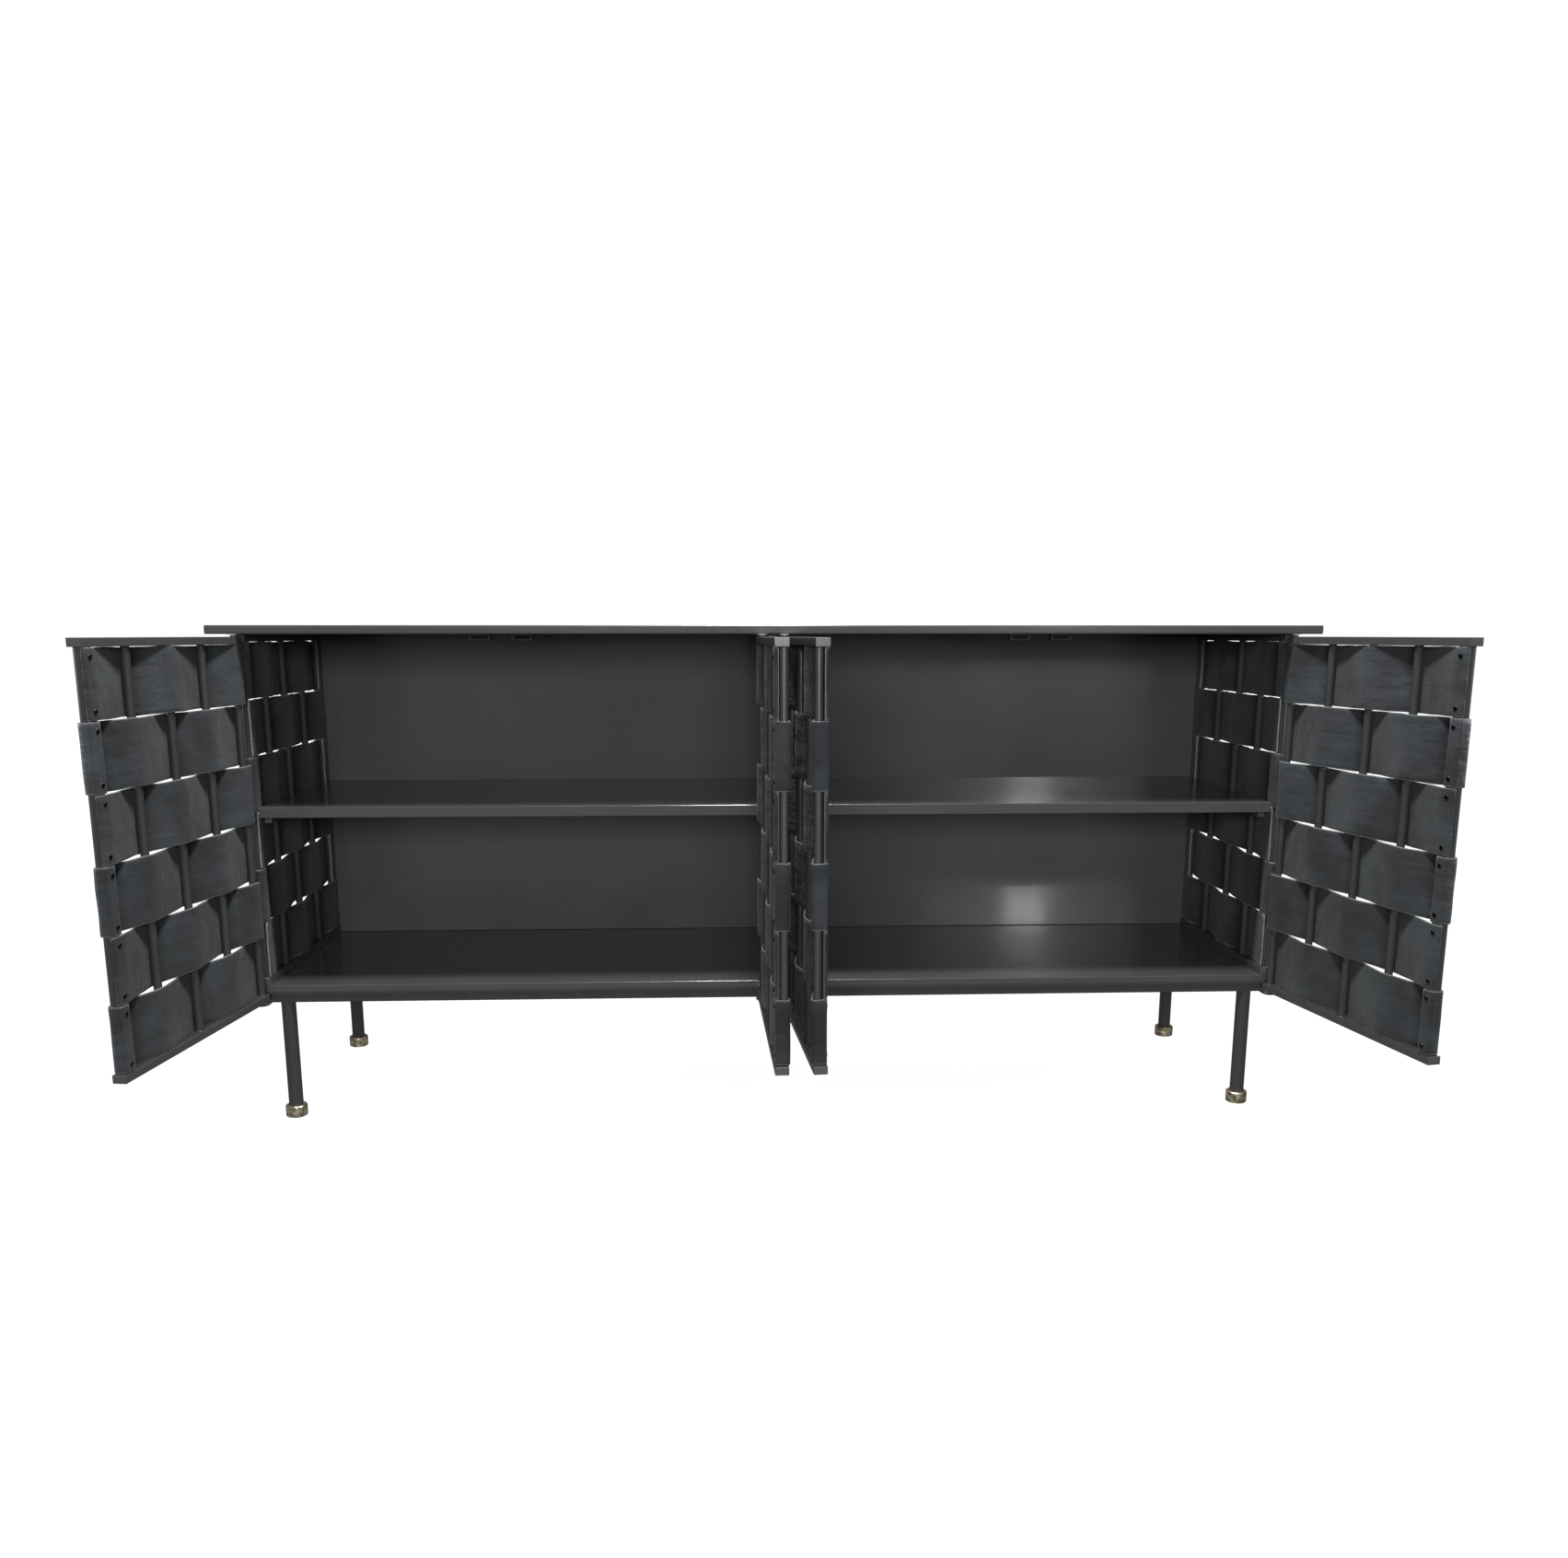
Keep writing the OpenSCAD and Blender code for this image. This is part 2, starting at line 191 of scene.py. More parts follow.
def add(tree, kind, inputs=None, stops=None, **settings):
    """Adds a node. An input is a value, or a (node, output) pair to link from."""
    made = tree.nodes.new(kind)
    for name, value in settings.items():
        setattr(made, name, value)
    for name, value in (inputs or {}).items():
        if isinstance(value, tuple) and isinstance(value[0], bpy.types.Node):
            tree.links.new(value[0].outputs[value[1]], made.inputs[name])
        else:
            made.inputs[name].default_value = value
    if stops:
        ramp = made.color_ramp
        for element, (place, shade) in zip(ramp.elements, stops):
            element.position = place
            element.color = (shade, shade, shade, 1)
    return made


def blank(name):
    """A new material, its nodes and its shader."""
    material = bpy.data.materials.new(name)
    material.use_nodes = True
    tree = material.node_tree
    return material, tree, tree.nodes["Principled BSDF"]


def wire(tree, shader, **links):
    """Links (node, output) pairs to the shader's inputs."""
    names = {"colour": "Base Color", "roughness": "Roughness", "normal": "Normal"}
    for name, (source, output) in links.items():
        tree.links.new(source.outputs[output], shader.inputs[names[name]])


def strap_leather():
    """Vegetable-tanned hide, black drum-dyed and waxed: cool mottled black, long faint creases,
    pebbled grain, and a paler rim: burnished wear along the sides, and a painted highlight on the cut
    ends."""
    material, tree, shader = blank("black_waxed_strap_leather")
    shader.inputs["IOR"].default_value = 1.5
    shader.inputs["Specular IOR Level"].default_value = 0.3
    shader.inputs["Sheen Weight"].default_value = 0.04
    shader.inputs["Sheen Roughness"].default_value = 0.5
    strap_uv = add(tree, "ShaderNodeUVMap", uv_map="UVMap")
    patches = add(
        tree,
        "ShaderNodeTexNoise",
        {"Vector": (strap_uv, "UV"), "Scale": HIDE_PATCHES, "Detail": 4.0},
    )
    cool = add(tree, "ShaderNodeValToRGB", {"Fac": (patches, "Fac")}, stops=[(0.42, 0), (0.62, 1)])
    base = add(
        tree,
        "ShaderNodeMix",
        {0: (cool, "Color"), 6: linear("#1b1c1e"), 7: linear("#262a2c")},
        data_type="RGBA",
    )
    moved = add(tree, "ShaderNodeMapping", {"Vector": (strap_uv, "UV"), "Location": (3.7, 1.9, 0)})
    bloom = add(
        tree,
        "ShaderNodeTexNoise",
        {"Vector": (moved, "Vector"), "Scale": HIDE_BLOOM, "Detail": 3.0},
    )
    violet = add(tree, "ShaderNodeValToRGB", {"Fac": (bloom, "Fac")}, stops=[(0.5, 0), (0.7, 0.7)])
    mottled = add(
        tree,
        "ShaderNodeMix",
        {0: (violet, "Color"), 6: (base, 2), 7: linear("#272529")},
        data_type="RGBA",
    )
    rim = add(tree, "ShaderNodeAttribute", attribute_name="rim")
    # Paler rims: burnished wear along the strap's sides, and a painted highlight on its cut ends.
    pale_rim_wear_and_highlight = add(tree, "ShaderNodeValToRGB", {"Fac": (rim, "Fac")}, stops=[(0.955, 0), (1.0, 0.6)])
    colour = add(
        tree,
        "ShaderNodeMix",
        {0: (pale_rim_wear_and_highlight, "Color"), 6: (mottled, 2), 7: linear("#5b5d5f")},
        data_type="RGBA",
    )
    stretched = add(tree, "ShaderNodeMapping", {"Vector": (strap_uv, "UV"), "Scale": HIDE_PULLS})
    pulls = add(
        tree,
        "ShaderNodeTexNoise",
        {"Vector": (stretched, "Vector"), "Scale": 1.0, "Detail": 5.0},
    )
    creases = add(tree, "ShaderNodeValToRGB", {"Fac": (pulls, "Fac")}, stops=[(0.40, 0), (0.60, 1)])
    pebbles = add(
        tree,
        "ShaderNodeTexVoronoi",
        {"Vector": (strap_uv, "UV"), "Scale": HIDE_PEBBLES},
        feature="DISTANCE_TO_EDGE",
    )
    gloss = add(
        tree,
        "ShaderNodeMapRange",
        {"Value": (pulls, "Fac"), "To Min": 0.36, "To Max": 0.58},
    )
    waves = add(
        tree,
        "ShaderNodeTexNoise",
        {"Vector": (strap_uv, "UV"), "Scale": HIDE_DENTS, "Detail": 2.0},
    )
    dents = add(
        tree,
        "ShaderNodeBump",
        {"Height": (waves, "Fac"), "Distance": 2.6 * MM, "Strength": 0.9},
    )
    lines = add(
        tree,
        "ShaderNodeBump",
        {"Height": (creases, "Color"), "Distance": 0.9 * MM, "Strength": 0.7, "Normal": (dents, "Normal")},
    )
    grain = add(
        tree,
        "ShaderNodeBump",
        {
            "Height": (pebbles, "Distance"),
            "Distance": 0.25 * MM,
            "Strength": 0.5,
            "Normal": (lines, "Normal"),
        },
    )
    wire(tree, shader, colour=(colour, 2), roughness=(gloss, "Result"), normal=(grain, "Normal"))
    return material


def painted_steel():
    """Mild steel, powder-coated satin black: fine orange peel, and paler where edges rub through."""
    material, tree, shader = blank("black_powder_coated_steel")
    shader.inputs["IOR"].default_value = 1.5
    place = add(tree, "ShaderNodeTexCoord")
    cloud = add(
        tree,
        "ShaderNodeTexNoise",
        {"Vector": (place, "Object"), "Scale": STEEL_CLOUD, "Detail": 4.0},
    )
    coat = add(
        tree,
        "ShaderNodeMix",
        {0: (cloud, "Fac"), 6: linear("#1e1e1f"), 7: linear("#292827")},
        data_type="RGBA",
    )
    shape = add(tree, "ShaderNodeNewGeometry")
    edges = add(
        tree,
        "ShaderNodeValToRGB",
        {"Fac": (shape, "Pointiness")},
        stops=[(0.54, 0), (0.66, 0.5)],
    )
    colour = add(
        tree,
        "ShaderNodeMix",
        {0: (edges, "Color"), 6: (coat, 2), 7: linear("#5f5d59")},
        data_type="RGBA",
    )
    peel = add(
        tree,
        "ShaderNodeTexNoise",
        {"Vector": (place, "Object"), "Scale": STEEL_PEEL, "Detail": 2.0},
    )
    gloss = add(tree, "ShaderNodeMapRange", {"Value": (cloud, "Fac"), "To Min": 0.3, "To Max": 0.44})
    skin = add(tree, "ShaderNodeBump", {"Height": (peel, "Fac"), "Distance": 0.2 * MM, "Strength": 0.35})
    wire(tree, shader, colour=(colour, 2), roughness=(gloss, "Result"), normal=(skin, "Normal"))
    return material


def black_lacquer():
    """Board sprayed with black polyester lacquer and polished: deep black under a clear coat,
    with slow ripples that soften what it mirrors."""
    material, tree, shader = blank("black_polished_lacquer_board")
    shader.inputs["IOR"].default_value = 1.52
    shader.inputs["Coat Weight"].default_value = 0.35
    shader.inputs["Coat Roughness"].default_value = 0.06
    place = add(tree, "ShaderNodeTexCoord")
    haze = add(
        tree,
        "ShaderNodeTexNoise",
        {"Vector": (place, "Object"), "Scale": LACQUER_HAZE, "Detail": 5.0},
    )
    colour = add(
        tree,
        "ShaderNodeMix",
        {0: (haze, "Fac"), 6: linear("#2a2a2b"), 7: linear("#343435")},
        data_type="RGBA",
    )
    gloss = add(tree, "ShaderNodeMapRange", {"Value": (haze, "Fac"), "To Min": 0.14, "To Max": 0.3})
    ripple = add(
        tree,
        "ShaderNodeTexNoise",
        {"Vector": (place, "Object"), "Scale": LACQUER_RIPPLE, "Detail": 1.0},
    )
    skin = add(
        tree,
        "ShaderNodeBump",
        {"Height": (ripple, "Fac"), "Distance": 0.3 * MM, "Strength": 0.04},
    )
    wire(tree, shader, colour=(colour, 2), roughness=(gloss, "Result"), normal=(skin, "Normal"))
    return material


def cast_brass():
    """Sand-cast brass, pale, with darker tarnish: warm metal with a pitted skin."""
    material, tree, shader = blank("tarnished_cast_brass")
    shader.inputs["Metallic"].default_value = 1.0
    place = add(tree, "ShaderNodeTexCoord")
    pits = add(tree, "ShaderNodeTexVoronoi", {"Vector": (place, "Object"), "Scale": BRASS_PITS})
    stain = add(
        tree,
        "ShaderNodeTexNoise",
        {"Vector": (place, "Object"), "Scale": BRASS_STAIN, "Detail": 4.0},
    )
    dark = add(tree, "ShaderNodeValToRGB", {"Fac": (stain, "Fac")}, stops=[(0.42, 1), (0.6, 0)])
    colour = add(
        tree,
        "ShaderNodeMix",
        {0: (dark, "Color"), 6: linear("#e6ddc2"), 7: linear("#857860")},
        data_type="RGBA",
    )
    gloss = add(tree, "ShaderNodeMapRange", {"Value": (stain, "Fac"), "To Min": 0.5, "To Max": 0.25})
    skin = add(
        tree,
        "ShaderNodeBump",
        {"Height": (pits, "Distance"), "Distance": 0.8 * MM, "Strength": 0.6},
    )
    wire(tree, shader, colour=(colour, 2), roughness=(gloss, "Result"), normal=(skin, "Normal"))
    return material


def bare_metal(name, pale, dark, rough_from, rough_to, streaks_along):
    """Turned or plated metal: streaks that run lighter and darker by turns."""
    material, tree, shader = blank(name)
    shader.inputs["Metallic"].default_value = 1.0
    place = add(tree, "ShaderNodeTexCoord")
    spacing = (TURNED_STREAKS, TURNED_STREAKS, streaks_along)
    turned = add(tree, "ShaderNodeMapping", {"Vector": (place, "Object"), "Scale": spacing})
    streaks = add(
        tree,
        "ShaderNodeTexNoise",
        {"Vector": (turned, "Vector"), "Scale": 1.0, "Detail": 3.0},
    )
    colour = add(
        tree,
        "ShaderNodeMix",
        {0: (streaks, "Fac"), 6: linear(dark), 7: linear(pale)},
        data_type="RGBA",
    )
    gloss = add(
        tree,
        "ShaderNodeMapRange",
        {"Value": (streaks, "Fac"), "To Min": rough_from, "To Max": rough_to},
    )
    skin = add(
        tree,
        "ShaderNodeBump",
        {"Height": (streaks, "Fac"), "Distance": 0.1 * MM, "Strength": 0.3},
    )
    wire(tree, shader, colour=(colour, 2), roughness=(gloss, "Result"), normal=(skin, "Normal"))
    return material


def moulded_plastic(name, pale, dark, rough):
    """Injection-moulded plastic with a spark-eroded skin: even colour, fine even grain."""
    material, tree, shader = blank(name)
    shader.inputs["IOR"].default_value = 1.5
    place = add(tree, "ShaderNodeTexCoord")
    grain = add(
        tree,
        "ShaderNodeTexNoise",
        {"Vector": (place, "Object"), "Scale": PLASTIC_GRAIN, "Detail": 2.0},
    )
    cloud = add(
        tree,
        "ShaderNodeTexNoise",
        {"Vector": (place, "Object"), "Scale": PLASTIC_CLOUD, "Detail": 2.0},
    )
    colour = add(
        tree,
        "ShaderNodeMix",
        {0: (cloud, "Fac"), 6: linear(dark), 7: linear(pale)},
        data_type="RGBA",
    )
    gloss = add(
        tree,
        "ShaderNodeMapRange",
        {"Value": (grain, "Fac"), "To Min": rough - 0.06, "To Max": rough + 0.06},
    )
    skin = add(tree, "ShaderNodeBump", {"Height": (grain, "Fac"), "Distance": 0.1 * MM, "Strength": 0.4})
    wire(tree, shader, colour=(colour, 2), roughness=(gloss, "Result"), normal=(skin, "Normal"))
    return material


def pale_floor():
    """Matt painted studio floor: nearly white, faintly uneven."""
    material, tree, shader = blank("matt_white_studio_paint")
    place = add(tree, "ShaderNodeTexCoord")
    cloud = add(
        tree,
        "ShaderNodeTexNoise",
        {"Vector": (place, "Object"), "Scale": PAINT_CLOUD, "Detail": 3.0},
    )
    colour = add(
        tree,
        "ShaderNodeMix",
        {0: (cloud, "Fac"), 6: linear("#f6f6f5"), 7: linear("#fbfbfa")},
        data_type="RGBA",
    )
    gloss = add(tree, "ShaderNodeMapRange", {"Value": (cloud, "Fac"), "To Min": 0.75, "To Max": 0.85})
    wire(tree, shader, colour=(colour, 2), roughness=(gloss, "Result"))
    return material


LEATHER = strap_leather()
STEEL = painted_steel()
LACQUER = black_lacquer()
BRASS = cast_brass()
SCREW_STEEL = bare_metal("blackened_screw_steel", "#4a4a4c", "#1c1c1e", 0.28, 0.45, TURNED_STREAKS)
PIN_STEEL = bare_metal("ground_pin_steel", "#b4b4b6", "#8a8a8c", 0.18, 0.3, FINE_TURNING)
MAGNET_STEEL = bare_metal("blackened_magnet_steel", "#3c3c3e", "#2a2a2c", 0.4, 0.55, TURNED_STREAKS)
NYLON = moulded_plastic("natural_moulded_nylon", "#dedbd1", "#cfcbc0", 0.45)
CATCH_PLASTIC = moulded_plastic("black_moulded_catch_plastic", "#1f1f21", "#161618", 0.5)


# ---- panels and welded frames: the designed shapes with their edges eased ----
def eased(node, body, width, material):
    """A copy of a designed piece, its sharp edges and welded corners rounded, that stands for it."""
    piece = bpy.data.objects.new(node + "_eased", frame["nodes"][node].data.copy())
    bpy.context.scene.collection.objects.link(piece)
    pick(piece)
    bpy.ops.object.mode_set(mode="EDIT")
    bpy.ops.mesh.select_all(action="SELECT")
    bpy.ops.mesh.remove_doubles(threshold=MERGE_WITHIN)
    bpy.ops.mesh.dissolve_limited(angle_limit=math.radians(FLAT_ANGLE))
    bpy.ops.object.mode_set(mode="OBJECT")
    apply_modifier(
        piece,
        "Bevel",
        "BEVEL",
        width=width,
        segments=2,
        limit_method="ANGLE",
        angle_limit=math.radians(EASED_ANGLE),
        use_clamp_overlap=False,
    )
    smooth(piece, CRISP_ANGLE)
    apply_modifier(piece, "Flat faces", "WEIGHTED_NORMAL", keep_sharp=True, weight=100)
    dressed(piece, material)
    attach(piece, body)
    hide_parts(node)


for panel in ("top_panel", "floor_panel", "back_panel", "centre_divider", "shelf_left", "shelf_right"):
    eased(panel, "carcass", BOARD_EASE, LACQUER)
for steel in ("base_frame", "shelf_cleats", "side_frame_left", "side_frame_right"):
    eased(steel, "carcass", WELD_EASE, STEEL)
eased("catch_housings", "carcass", WELD_EASE, CATCH_PLASTIC)


# ---- straps ----
# Into how many parts each stretch of a strap's path is cut, and the strap across its height.
RUN_STEPS = 10
STRAIGHT_STEPS = 4
END_STEPS = 2
ARC_STEPS = 6
BEND_STEPS = 10
ACROSS = 12


def line(a, b, steps):
    """Points on a straight stretch, the first left out."""
    across, along = b[0] - a[0], b[1] - a[1]
    return [(a[0] + across * i / steps, a[1] + along * i / steps) for i in range(1, steps + 1)]


def arc(centre, radius, start, end, steps):
    """Points on an arc in degrees, both ends included."""
    turns = [math.radians(start + (end - start) * i / steps) for i in range(steps + 1)]
    return [(centre[0] + radius * math.cos(a), centre[1] + radius * math.sin(a)) for a in turns]


def passing(row, upright):
    """1 where a strap passes inside an upright, -1 where it passes outside."""
    return 1 if (row + upright) % 2 == 1 else -1


def slope(space):
    """Slope in degrees of the straight run from one bend to the next, on the next upright's other side."""
    lift = 2 * (SOFT_BEND - level)
    return math.degrees(math.asin(2 * SOFT_BEND / math.hypot(space, lift)) - math.atan2(lift, space))


def bend(u, side, start, end):
    """Round an upright at u, from start to end degrees off the way straight past it."""
    centre = (u, side * (level - SOFT_BEND))
    return arc(centre, SOFT_BEND, side * (90 + start), side * (90 + end), BEND_STEPS)


def drawn(stretches):
    """Arcs in turn as one path, with the straight runs between them cut into short steps."""
    path = list(stretches[0])
    for stretch in stretches[1:]:
        path += line(path[-1], stretch[0], RUN_STEPS) + list(stretch[1:])
    return path


def leaf_path(row, reach):
    """A leaf strap's middle line, from its end at the free stile to the hinge stile."""
    stile_u = reach - BAR_OVERRUN - ROD / 2
    stile_t = LEAF / 2 - LEAF_EDGE - STRAP - CLAMP_T - CLAMP_GAP - ROD / 2
    bar_u = stile_u + ROD / 2
    bar_t = stile_t + ROD / 2 + CLAMP_GAP + CLAMP_T
    bar_end = (bar_u - CLAMP_W, bar_t + fold_r)
    tilt = slope(stile_u / SPACES)
    bends = [
        bend(stile_u * (1 - k / SPACES), passing(row, k), -tilt, 0 if k == SPACES else tilt)
        for k in range(1, SPACES + 1)
    ]
    over_bar = arc((bar_u, bar_t), fold_r, 0, 90, ARC_STEPS)
    if row % 2 == 1:
        start = line((bar_u + fold_r, bar_t - CLAMP_T), over_bar[0], END_STEPS) + over_bar[1:]
        start += line(start[-1], bar_end, STRAIGHT_STEPS)
    else:
        # The stile stands a little outside the uprights' line, so the first run is a little steeper.
        wrap_end = -90 - tilt + math.degrees(math.atan(stile_t * SPACES / stile_u))
        wrap = arc((stile_u, stile_t), level, 0, wrap_end, 2 * ARC_STEPS)
        start = [bar_end] + line(bar_end, over_bar[-1], STRAIGHT_STEPS) + over_bar[-2::-1]
        start += line(start[-1], wrap[0], STRAIGHT_STEPS) + wrap[1:]
    path = drawn([start, *bends])
    return path + line(path[-1], (-HINGE_REACH, path[-1][1]), END_STEPS)


def side_path(row, length):
    """A side strap's middle line, from the front post to the rear post."""
    inset = ROD / 2 + STRAP + POST_MARGIN
    space = (length - 2 * inset) / SPACES
    front, rear = inset, length - inset
    tilt = slope(space)
    bends = [bend(front + k * space, -passing(row, k), tilt, -tilt) for k in range(1, SPACES)]
    if row % 2 == 1:
        turned = arc((front, 0), level, 90, 270 + tilt, 2 * ARC_STEPS)
        start = [(front + SIDE_TAIL, level)] + line((front + SIDE_TAIL, level), turned[0], STRAIGHT_STEPS)
        end = arc((rear, 0), level, -90 - tilt, 90, 2 * ARC_STEPS)
        end += line(end[-1], (rear - SIDE_TAIL, level), STRAIGHT_STEPS)
        return drawn([start + turned[1:], *bends, end])
    start = [(front - ROD / 2, level)] + bend(front, 1, 0, -tilt)
    end = bend(rear, 1, tilt, 0) + [(rear + ROD / 2, level)]
    return drawn([start, *bends, end])


def distances(path):
    """How far along a path each of its points lies."""
    along = [0.0]
    for a, b in zip(path, path[1:]):
        along.append(along[-1] + math.dist(a, b))
    return along


def facing(path, column):
    """The unit normal of a path at one of its points."""
    before, after = path[max(column - 1, 0)], path[min(column + 1, len(path) - 1)]
    step = math.dist(before, after)
    return -(after[1] - before[1]) / step, (after[0] - before[0]) / step


def unevenness(s, z, upper, number):
    """A strap's dent and its rim's wave at s along it and z from its middle height."""
    dent = DENT * noise.noise(Vector((s / DENT_SPACING, z / DENT_SPACING, DENT_STEP * number)))
    rim_at = RIM_OFFSET if upper else -RIM_OFFSET
    wave = RIM_WAVE * noise.noise(Vector((s / DENT_SPACING, rim_at, RIM_STEP * number)))
    return dent, wave


def bend_flat_strap(mesh, path, low, high, place, number, lean):
    """Bends a flat grid along its path, and keeps its flat shape as the pattern's UV map.
    The rim attribute is 1 at the strap's edges and 0 along its middle."""
    last = len(path) - 1
    along = distances(path)
    middle, height = (low + high) / 2, high - low
    rim = mesh.attributes.new("rim", "FLOAT", "POINT")
    uv = mesh.uv_layers["UVMap"]
    flat = {}
    for vertex in mesh.vertices:
        column = round((vertex.co.x + 0.5) * last)
        share = vertex.co.y
        s, z = along[column], share * height
        dent, wave = unevenness(s, z, share > 0, number)
        normal = facing(path, column)
        u, t = path[column][0] + dent * normal[0], path[column][1] + dent * normal[1]
        lift = lean * max(-1.0, min(1.0, t / level))
        flat[vertex.index] = (s + PATTERN_STEP[0] * number, z + PATTERN_STEP[1] * number)
        # The cut ends count as rim, so the pale rim colour paints a highlight on them; along the sides it
        # is wear.
        rim.data[vertex.index].value = 1.0 if column in (0, last) else 2 * abs(share)
        vertex.co = place(u, t, middle + z + 2 * abs(share) * wave + lift)
    for loop in mesh.loops:
        uv.data[loop.index].uv = flat[loop.vertex_index]


def strap(name, path, low, high, place, number, lean):
    """A strap cut flat as a grid, bent along its path, then given its thickness and rounded rims.
    place turns (u, t, z) into the frame, and number keeps one strap's marks unlike the next's."""
    deselect()
    bpy.ops.mesh.primitive_grid_add(x_subdivisions=len(path) - 1, y_subdivisions=ACROSS, size=1)
    piece = bpy.context.view_layer.objects.active
    piece.name = name
    bend_flat_strap(piece.data, path, low, high, place, number, lean)
    apply_modifier(piece, "Thickness", "SOLIDIFY", thickness=STRAP, offset=0, use_even_offset=True)
    apply_modifier(
        piece,
        "Rims",
        "BEVEL",
        width=RIM_ROUND,
        segments=2,
        limit_method="ANGLE",
        angle_limit=math.radians(RIM_ANGLE),
        use_clamp_overlap=False,
    )
    smooth(piece, RIM_ANGLE)
    return piece


# ---- screws ----
HEAD_SIDES = 20
CROWN_ROUND = 0.8 * MM
# The cross recess's arms, as shares of the head's radius.
RECESS_LENGTH = 1.1
RECESS_WIDTH = 0.3


def recess_arm(turn):
    """A bar as tall as the head and halfway into it, at this turn in degrees, to cut the recess with."""
    deselect()
    bpy.ops.mesh.primitive_cube_add(
        size=1,
        location=(0, 0, SCREW_HEAD),
        rotation=(0, 0, math.radians(turn)),
        scale=(SCREW_R * RECESS_LENGTH, SCREW_R * RECESS_WIDTH, SCREW_HEAD),
    )
    bpy.ops.object.transform_apply(location=True, rotation=True, scale=True)
    return bpy.context.view_layer.objects.active


def pan_screw():
    """A pan-head screw's head with a cross recess, its seat at the origin and its crown up."""
    deselect()
    bpy.ops.mesh.primitive_cylinder_add(
        vertices=HEAD_SIDES, radius=SCREW_R, depth=SCREW_HEAD, location=(0, 0, SCREW_HEAD / 2)
    )
    head = bpy.context.view_layer.objects.active
    apply_modifier(
        head,
        "Crown",
        "BEVEL",
        width=CROWN_ROUND,
        segments=3,
        limit_method="ANGLE",
        angle_limit=math.radians(RIM_ANGLE),
    )
    for turn in (0, 90):
        arm = recess_arm(turn)
        apply_modifier(head, "Recess", "BOOLEAN", object=arm, operation="DIFFERENCE")
        bpy.data.objects.remove(arm)
    pick(head)
    bpy.ops.object.transform_apply(location=True, rotation=True, scale=True)
    smooth(head, CRISP_ANGLE)
    return head


# ---- doors ----
hinges = {joint["child"]: joint for joint in frame["joints"]}
hinge_at = {body: Vector(joint["pos_m"]) for body, joint in hinges.items()}
bay = hinge_at["door_right_outer"].x - hinge_at["door_right_centre"].x
reach = (bay - MEETING_GAP) / 2


def leaf_place(body):
    """How a leaf's own (u, t, z) lies in the frame: u from the hinge outwards, t to the inside."""
    joint = hinges[body]
    run = -joint["axis"][2]
    turn = math.radians(-joint["range_deg"][0])
    hinge = hinge_at[body]

    def place(u, t, z):
        x = hinge.x + run * (u * math.cos(turn) + t * math.sin(turn))
        return Vector((x, hinge.y - u * math.sin(turn) + t * math.cos(turn), z))

    return place


def leaf_screws(body, place, screw):
    """Twelve copies of the screw on a leaf's clamping bar, two for each strap."""
    stile_u = reach - BAR_OVERRUN - ROD / 2
    seat = (stile_u + ROD / 2 - CLAMP_W / 2, LEAF / 2 - LEAF_EDGE + PLAY)
    copies = []
    for row in range(1, ROWS + 1):
        low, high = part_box(f"{body}_strap_{row}")
        for z in (low.z + SCREW_EDGE, high.z - SCREW_EDGE):
            copy = screw.copy()
            copy.data = screw.data.copy()
            bpy.context.scene.collection.objects.link(copy)
            for vertex in copy.data.vertices:
                x, y, out = vertex.co
                vertex.co = place(seat[0] + x, seat[1] + out, z + y)
            copies.append(copy)
    screws = joined(copies, f"{body}_screw_heads")
    pick(screws)
    bpy.ops.object.mode_set(mode="EDIT")
    bpy.ops.mesh.select_all(action="SELECT")
    bpy.ops.mesh.normals_make_consistent(inside=False)
    bpy.ops.object.mode_set(mode="OBJECT")
    dressed(screws, SCREW_STEEL)
    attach(screws, body)
    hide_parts(f"{body}_screws")


screw = pan_screw()
for door_number, body in enumerate(sorted(hinges)):
    place = leaf_place(body)
    eased(f"{body}_frame", body, WELD_EASE, STEEL)
    leaf_screws(body, place, screw)
    for row in range(1, ROWS + 1):
        low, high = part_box(f"{body}_strap_{row}")
        name = f"{body}_woven_strap_{row}"
        number = ROWS * door_number + row
        piece = strap(name, leaf_path(row, reach), low.z, high.z, place, number, DOOR_LEAN)
        dressed(piece, LEATHER)
        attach(piece, body)
        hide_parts(f"{body}_strap_{row}")
bpy.data.objects.remove(screw)


# ---- woven ends ----
def side_place(middle_x, start_y, sign):
    """How an end's own (u, t, z) lies in the frame: u from its front to its rear, t to the inside."""

    def place(u, t, z):
        return Vector((middle_x - sign * t, start_y + u, z))

    return place


for side_number, (side, sign) in enumerate((("left", -1), ("right", 1))):
    low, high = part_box(f"side_frame_{side}")
    place = side_place((low.x + high.x) / 2, low.y, sign)
    row_h = (high.z - low.z - 2 * BAR_H) / ROWS
    straps = []
    for row in range(1, ROWS + 1):
        base = high.z - BAR_H - row * row_h + ROW_GAP / 2
        name = f"side_{side}_woven_strap_{row}"
        path = side_path(row, high.y - low.y)
        number = ROWS * (len(hinges) + side_number) + row
        straps.append(strap(name, path, base, base + row_h - ROW_GAP, place, number, SIDE_LEAN))
    woven = joined(straps, f"side_{side}_woven_straps")
    dressed(woven, LEATHER)
    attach(woven, "carcass")
    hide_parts(f"side_straps_{side}")

# ---- legs and feet with eased edges, and small pieces as they were designed ----
for corner in ("front_left", "front_right", "rear_left", "rear_right"):
    eased(f"leg_{corner}", "carcass", LEG_EASE, STEEL)
    eased(f"foot_{corner}", "carcass", FOOT_EASE, BRASS)
small_pieces = {"pivot_bushes": NYLON, "catch_magnets": MAGNET_STEEL}
small_pieces |= {f"{body}_pins": PIN_STEEL for body in hinges}
for node, material in small_pieces.items():
    frame["nodes"][node].data.materials.clear()
    frame["nodes"][node].data.materials.append(material)

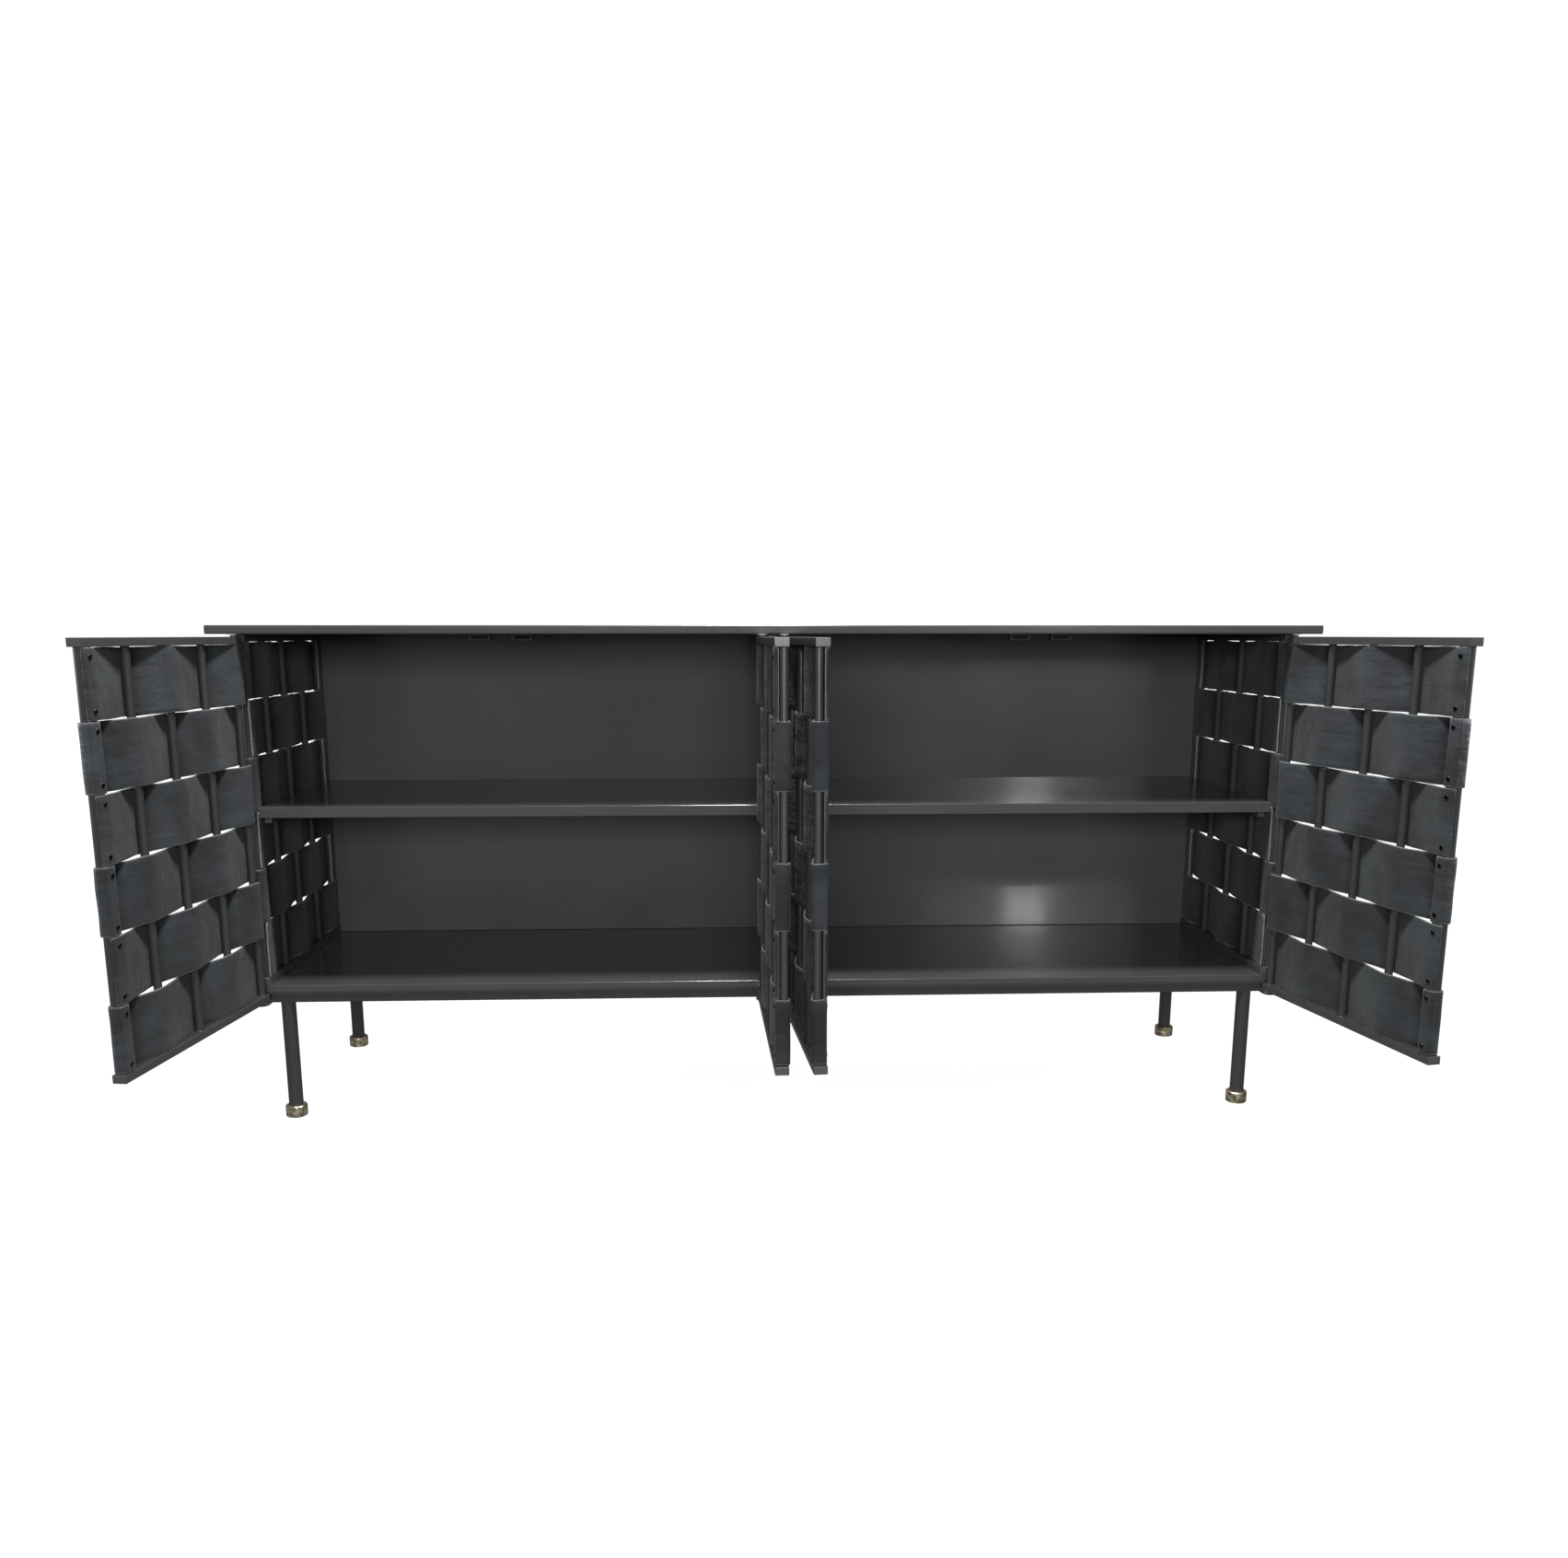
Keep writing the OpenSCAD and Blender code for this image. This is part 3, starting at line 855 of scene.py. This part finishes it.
# ---- floor: it is seen, but throws no light up at the object and isn't mirrored in it ----
FLOOR_SIZE = 40
deselect()
bpy.ops.mesh.primitive_plane_add(size=FLOOR_SIZE, location=(0, 0, 0))
floor = bpy.context.view_layer.objects.active
floor.name = "studio_floor"
floor.data.materials.append(pale_floor())
floor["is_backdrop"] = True
floor.visible_diffuse = False
floor.visible_glossy = False


# ---- lamps ----
def only_on(light, pieces):
    """The lamp lights these pieces and nothing else."""
    lit = bpy.data.collections.new(f"lit_by_{light.name}")
    for piece in pieces:
        lit.objects.link(piece)
    light.light_linking.receiver_collection = lit


def area_lamp(name, at, aim, size, power, pieces, mirrored=True):
    """A soft rectangular lamp at one point, turned to face another, for the pieces given."""
    lamp = bpy.data.lights.new(name, "AREA")
    lamp.shape = "RECTANGLE"
    lamp.size, lamp.size_y = size
    lamp.energy = power
    holder = bpy.data.objects.new(name, lamp)
    bpy.context.scene.collection.objects.link(holder)
    holder.location = at
    holder.rotation_euler = (Vector(aim) - Vector(at)).to_track_quat("-Z", "Y").to_euler()
    holder.visible_glossy = mirrored
    only_on(holder, pieces)


def named(*starts):
    """The visible pieces whose names start so."""
    return [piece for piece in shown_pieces() if piece.name.startswith(starts)]


top_low, top_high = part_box("top_panel")
centre_x = (top_low.x + top_high.x) / 2
front_y = top_low.y
AIM_HEIGHT = 0.5
SIDE_AIM_X = 0.9
front = Vector((centre_x, front_y, AIM_HEIGHT))
before_front = Vector((centre_x, front_y - 0.2, AIM_HEIGHT))
every_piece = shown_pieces()
no_shelves = [piece for piece in every_piece if not piece.name.startswith("shelf")]
# The tube lamp lightens only the middle leaves' frames and the feet.
facing_front = named("door_left_centre_frame", "door_right_centre_frame", "foot")

area_lamp("overhead_lamp", (centre_x, front_y - 0.35, 2.8), before_front, (0.4, 0.4), 185, every_piece)
area_lamp("fill_lamp", (centre_x - 0.3, front_y - 4.2, 1.25), front, (1.8, 0.8), 300, every_piece, False)
area_lamp("tube_lamp", (centre_x, front_y - 4.0, 1.3), front, (0.5, 0.5), 90, facing_front)
area_lamp("window_lamp", (centre_x + 2.0, front_y - 6.0, 1.55), front, (0.26, 0.26), 17, no_shelves)
rear = (centre_x, 0, AIM_HEIGHT)
area_lamp("rear_lamp", (centre_x, 4.5, 2.0), rear, (1.5, 1.5), 260, every_piece, False)
for side, sign in (("left", -1), ("right", 1)):
    end = (sign * SIDE_AIM_X, -0.2, AIM_HEIGHT)
    outside = named(f"side_{side}", f"side_frame_{side}", f"door_{side}_outer")
    area_lamp(f"{side}_lamp", (sign * 5.0, -0.6, 2.0), end, (1.2, 1.2), 260, outside)

# The floor has a lamp of its own, and the object throws no shadow in it.
FLOOR_LAMP_STRENGTH = 3.4
FLOOR_LAMP_ANGLE = 60
bpy.ops.object.light_add(type="SUN", location=(0, 0, 5))
floor_lamp = bpy.context.view_layer.objects.active
floor_lamp.name = "floor_lamp"
floor_lamp.data.energy = FLOOR_LAMP_STRENGTH
floor_lamp.data.angle = math.radians(FLOOR_LAMP_ANGLE)
only_on(floor_lamp, [floor])
floor_lamp.light_linking.blocker_collection = floor_lamp.light_linking.receiver_collection

# ---- room: it lights the object dimly and evenly, and is plain white behind it ----
ROOM_LIGHT = 0.2
ROOM_SEEN = 1.05
world = bpy.data.worlds.new("white_studio")
world.use_nodes = True
sky = world.node_tree
seen = add(sky, "ShaderNodeLightPath")
room = sky.nodes["Background"]
room.inputs["Color"].default_value = linear("#ffffff")
brightness = add(
    sky,
    "ShaderNodeMapRange",
    {"Value": (seen, "Is Camera Ray"), "To Min": ROOM_LIGHT, "To Max": ROOM_SEEN},
)
sky.links.new(brightness.outputs["Result"], room.inputs["Strength"])
bpy.context.scene.world = world
bpy.context.scene.view_settings.view_transform = "Standard"

# ---- camera: a little left of the middle, about level with the top, looking down at the base ----
LENS_MM = 30.7
SENSOR_MM = 36.0
SHIFT_Y = 0.0838
PITCH_DOWN = 11.71
YAW_RIGHT = 2.49
CAMERA_LEFT = 0.0786
CAMERA_BACK = 2.193
CAMERA_HEIGHT = 0.8174
lens = bpy.data.cameras.new("camera")
lens.lens = LENS_MM
lens.sensor_width = SENSOR_MM
lens.shift_y = SHIFT_Y
camera = bpy.data.objects.new("camera", lens)
bpy.context.scene.collection.objects.link(camera)
camera.location = (centre_x - CAMERA_LEFT, front_y - CAMERA_BACK, CAMERA_HEIGHT)
camera.rotation_euler = (math.radians(90 - PITCH_DOWN), 0, math.radians(-YAW_RIGHT))
bpy.context.scene.camera = camera
